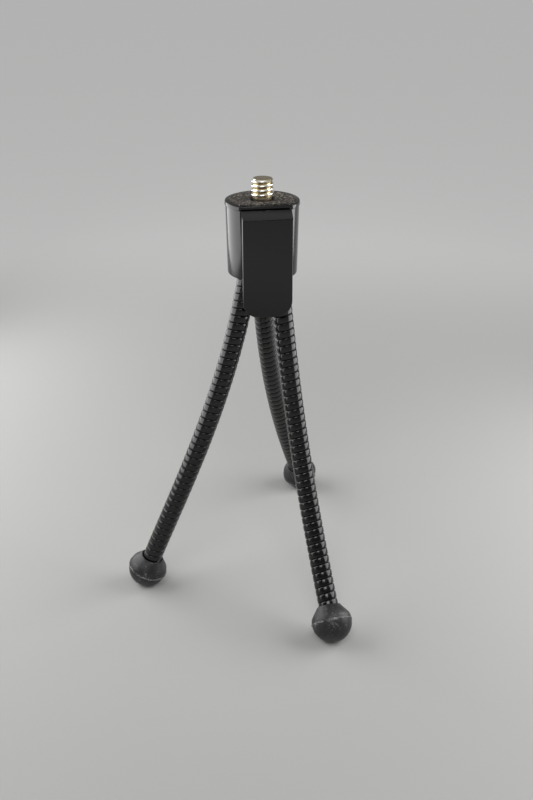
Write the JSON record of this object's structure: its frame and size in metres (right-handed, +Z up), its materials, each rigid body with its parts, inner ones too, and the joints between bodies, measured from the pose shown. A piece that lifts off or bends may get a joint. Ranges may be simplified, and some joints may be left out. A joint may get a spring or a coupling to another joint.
{
  "type": "flexible leg tripod",
  "caption": "Pocket tripod with bendy gooseneck legs on rubber ball feet, a padded camera screw on top and a sprung pocket clip.",
  "frame": {"origin": "on the floor, in the middle of the footprint of the three ball feet as they stand in the picture", "axes": "+Z up, along the camera screw; -Y is the side of the pocket clip; +X is to the right when the clip is seen from the front"},
  "size_m": [0.0696, 0.101, 0.1266],
  "materials": {
    "black_abs": "gloss",
    "black_moulding": "satin",
    "cork_rubber": "matt, speckled",
    "plated_brass": "bright plated",
    "steel": "plain",
    "black_steel": "gloss black coating",
    "rubber": "satin, dusty"
  },
  "bodies": {
    "head": {"head_shell": "black_abs", "grip_pad": "cork_rubber", "camera_screw": "plated_brass", "screw_washer": "steel", "clip_pin": "steel", "clip_spring": "steel", "leg_block": "black_moulding", "left_winding_0": "black_steel", "left_core_0": "steel", "left_root_rivet": "steel", "left_bend_1": "black_steel", "front_winding_0": "black_steel", "front_core_0": "steel", "front_root_rivet": "steel", "front_bend_1": "black_steel", "rear_winding_0": "black_steel", "rear_core_0": "steel", "rear_root_rivet": "steel", "rear_bend_1": "black_steel"},
    "clip": {"pocket_clip": "black_abs"},
    "left_leg_1": {"left_winding_1": "black_steel", "left_core_1": "steel", "left_bend_2": "black_steel"},
    "left_leg_2": {"left_winding_2": "black_steel", "left_core_2": "steel", "left_bend_3": "black_steel"},
    "left_leg_3": {"left_winding_3": "black_steel", "left_core_3": "steel", "left_bend_4": "black_steel"},
    "left_leg_4": {"left_winding_4": "black_steel", "left_core_4": "steel", "left_foot_anchor": "steel", "left_foot": "rubber"},
    "front_leg_1": {"front_winding_1": "black_steel", "front_core_1": "steel", "front_bend_2": "black_steel"},
    "front_leg_2": {"front_winding_2": "black_steel", "front_core_2": "steel", "front_bend_3": "black_steel"},
    "front_leg_3": {"front_winding_3": "black_steel", "front_core_3": "steel", "front_bend_4": "black_steel"},
    "front_leg_4": {"front_winding_4": "black_steel", "front_core_4": "steel", "front_foot_anchor": "steel", "front_foot": "rubber"},
    "rear_leg_1": {"rear_winding_1": "black_steel", "rear_core_1": "steel", "rear_bend_2": "black_steel"},
    "rear_leg_2": {"rear_winding_2": "black_steel", "rear_core_2": "steel", "rear_bend_3": "black_steel"},
    "rear_leg_3": {"rear_winding_3": "black_steel", "rear_core_3": "steel", "rear_bend_4": "black_steel"},
    "rear_leg_4": {"rear_winding_4": "black_steel", "rear_core_4": "steel", "rear_foot_anchor": "steel", "rear_foot": "rubber"}
  },
  "joints": [
    {"name": "clip_pivot", "type": "hinge", "parent": "head", "child": "clip", "pos_m": [0.00894, -0.00769, 0.1123], "axis": [-1, 0, 0], "range_deg": [0, 7], "stiffness_Nm_per_rad": 0.2, "springref_deg": -8.59, "deforming": ["clip_spring"]},
    {"name": "left_splay", "type": "hinge", "parent": "head", "child": "left_leg_1", "pos_m": [0.00292, -0.00501, 0.0926], "axis": [-0.5748, 0.8183, 0], "range_deg": [-14, 60], "deforming": ["left_bend_1"]},
    {"name": "left_sway", "type": "hinge", "parent": "left_leg_1", "child": "left_leg_2", "pos_m": [-0.00356, -0.00847, 0.07013], "axis": [0.8742, 0.3455, -0.3413], "range_deg": [-60, 60], "deforming": ["left_bend_2"]},
    {"name": "left_curl", "type": "hinge", "parent": "left_leg_2", "child": "left_leg_3", "pos_m": [-0.01261, -0.01073, 0.04609], "axis": [0.1187, -0.9929, 0], "range_deg": [-60, 60], "deforming": ["left_bend_3"]},
    {"name": "left_tip_curl", "type": "hinge", "parent": "left_leg_3", "child": "left_leg_4", "pos_m": [-0.02245, -0.01064, 0.02225], "axis": [-0.1379, -0.9904, 0], "range_deg": [-60, 60], "deforming": ["left_bend_4"]},
    {"name": "front_splay", "type": "hinge", "parent": "head", "child": "front_leg_1", "pos_m": [0.01385, -0.00512, 0.09245], "axis": [-0.9168, -0.3993, 0], "range_deg": [-10, 15], "deforming": ["front_bend_1"]},
    {"name": "front_sway", "type": "hinge", "parent": "front_leg_1", "child": "front_leg_2", "pos_m": [0.01586, -0.01025, 0.06946], "axis": [-0.3212, 0.9064, -0.2743], "range_deg": [-60, 60], "deforming": ["front_bend_2"]},
    {"name": "front_curl", "type": "hinge", "parent": "front_leg_2", "child": "front_leg_3", "pos_m": [0.01841, -0.0185, 0.04517], "axis": [0.9654, 0.2609, 0], "range_deg": [-60, 60], "deforming": ["front_bend_3"]},
    {"name": "front_tip_curl", "type": "hinge", "parent": "front_leg_3", "child": "front_leg_4", "pos_m": [0.02117, -0.03064, 0.02262], "axis": [0.9825, 0.1862, 0], "range_deg": [-60, 60], "deforming": ["front_bend_4"]},
    {"name": "rear_splay", "type": "hinge", "parent": "head", "child": "rear_leg_1", "pos_m": [0.00962, 0.0061, 0.09267], "axis": [0.9582, -0.2861, 0], "range_deg": [-14, 60], "deforming": ["rear_bend_1"]},
    {"name": "rear_sway", "type": "hinge", "parent": "rear_leg_1", "child": "rear_leg_2", "pos_m": [0.01232, 0.01397, 0.07054], "axis": [-0.3311, -0.8581, -0.3925], "range_deg": [-60, 60], "deforming": ["rear_bend_2"]},
    {"name": "rear_curl", "type": "hinge", "parent": "rear_leg_2", "child": "rear_leg_3", "pos_m": [0.01675, 0.0241, 0.04724], "axis": [-0.899, 0.438, 0], "range_deg": [-60, 60], "deforming": ["rear_bend_3"]},
    {"name": "rear_tip_curl", "type": "hinge", "parent": "rear_leg_3", "child": "rear_leg_4", "pos_m": [0.0227, 0.03509, 0.02467], "axis": [-0.8585, 0.5129, 0], "range_deg": [-60, 60], "deforming": ["rear_bend_4"]}
  ]
}
